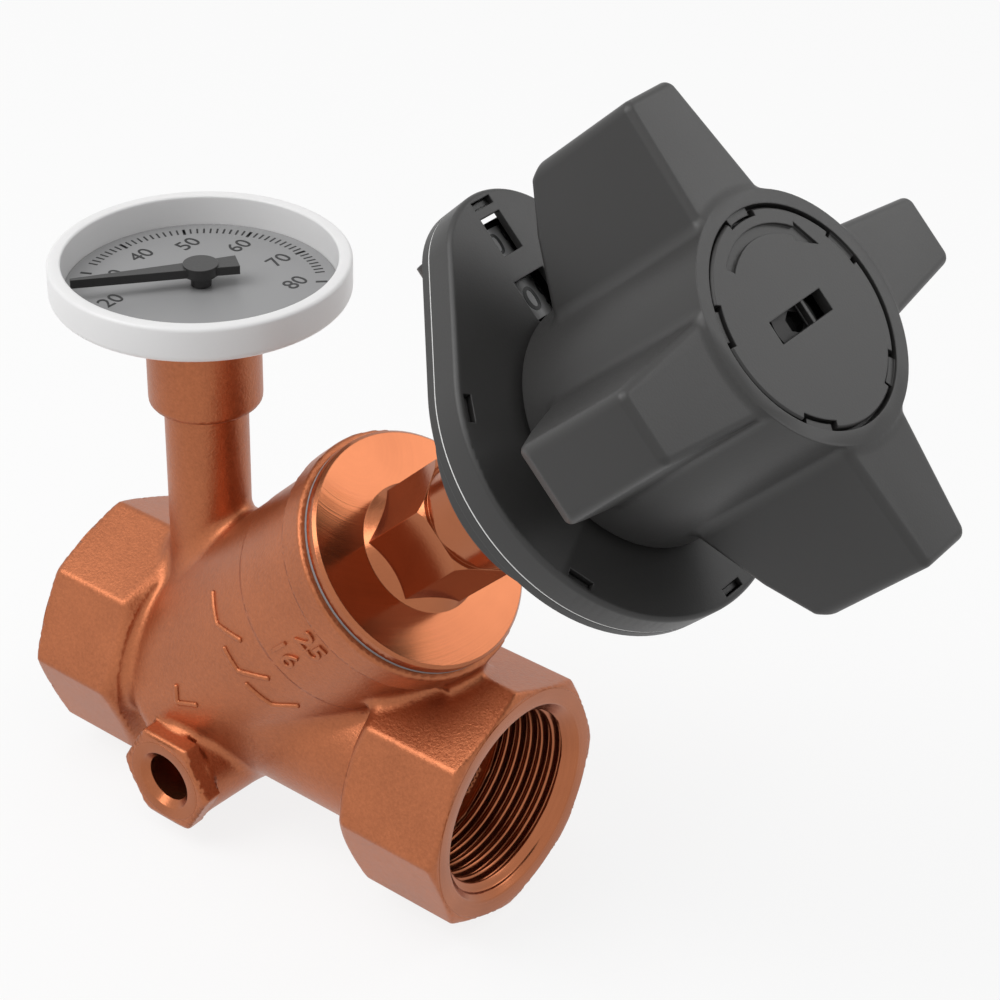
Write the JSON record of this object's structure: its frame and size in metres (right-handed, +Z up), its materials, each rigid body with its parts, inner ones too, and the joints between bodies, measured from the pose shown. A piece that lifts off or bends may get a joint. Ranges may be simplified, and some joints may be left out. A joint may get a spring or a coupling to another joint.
{
  "type": "regulating valve",
  "caption": "Inclined-seat regulating valve with a winged handwheel, a windowed turn indicator, a dial thermometer and a hexagonal drain port.",
  "frame": {"origin": "pipe axis, where the wall of the inlet thread starts", "axes": "+X along the flow from inlet to outlet, +Z up towards the thermometer, handwheel inclined 45 degrees towards +X"},
  "size_m": [0.1595, 0.0736, 0.1524],
  "materials": {
    "bronze": "cast",
    "polished_bronze": "machined",
    "brass": "machined",
    "gasket_fibre": "matte",
    "rubber": "matte",
    "steel": "satin",
    "dark_plastic": "satin",
    "pale_seal": "matte",
    "gear_plastic": "satin",
    "drum_plastic": "satin",
    "white_plastic": "satin",
    "dial_enamel": "matte",
    "pointer_black": "satin"
  },
  "bodies": {
    "body": {"valve_body": "bronze", "bonnet": "polished_bronze", "spindle_bush": "brass", "bonnet_gasket": "gasket_fibre", "probe_ring": "rubber", "thrust_washer": "steel", "spindle_clip": "steel", "base_circlip": "steel", "drum_axle": "steel", "transfer_axle": "steel", "bimetal_coil": "steel", "probe_tube": "steel", "indicator_base": "dark_plastic", "indicator_cover": "dark_plastic", "housing_seal": "pale_seal", "thermometer_case": "white_plastic", "dial_plate": "dial_enamel"},
    "wheel": {"handwheel": "dark_plastic", "handwheel_cap": "dark_plastic", "handwheel_screw": "steel", "screw_washer": "steel", "drive_sleeve": "gear_plastic", "spindle": "brass", "spindle_ring_1": "rubber", "spindle_ring_2": "rubber"},
    "cone": {"cone_carrier": "polished_bronze", "seat_washer": "rubber", "regulating_plug": "polished_bronze", "plug_screw": "steel"},
    "tenths": {"tenths_drum": "drum_plastic"},
    "transfer": {"transfer_gear": "gear_plastic"},
    "units": {"units_drum": "drum_plastic"},
    "needle": {"pointer": "pointer_black", "pointer_shaft": "brass"}
  },
  "joints": [
    {"name": "handwheel_turn", "type": "hinge", "parent": "body", "child": "wheel", "pos_m": [0.02707, 0, 0], "axis": [0.7071, 0, 0.7071], "range_deg": [0, 1188]},
    {"name": "cone_lift", "type": "slide", "parent": "body", "child": "cone", "axis": [0.7071, 0, 0.7071], "range_m": [0, 0.0099]},
    {"name": "tenths_turn", "type": "hinge", "parent": "body", "child": "tenths", "pos_m": [0.10026, 0, 0.07319], "axis": [-0.7071, 0, 0.7071], "range_deg": [0, 3564]},
    {"name": "transfer_turn", "type": "hinge", "parent": "body", "child": "transfer", "pos_m": [0.10026, 0.007, 0.07319], "axis": [-0.7071, 0, 0.7071], "range_deg": [-1425.6, 0]},
    {"name": "units_turn", "type": "hinge", "parent": "body", "child": "units", "pos_m": [0.10026, 0, 0.07319], "axis": [-0.7071, 0, 0.7071], "range_deg": [0, 356.4]},
    {"name": "pointer_turn", "type": "hinge", "parent": "body", "child": "needle", "pos_m": [0.02247, 0, 0.075], "axis": [0, 0, 1], "range_deg": [-191, 6]}
  ],
  "couplings": [
    {"joint": "cone_lift", "follows": "handwheel_turn", "m_per_rad": 0.00047746},
    {"joint": "tenths_turn", "follows": "handwheel_turn", "ratio": 3},
    {"joint": "transfer_turn", "follows": "handwheel_turn", "ratio": -1.2},
    {"joint": "units_turn", "follows": "handwheel_turn", "ratio": 0.3}
  ]
}
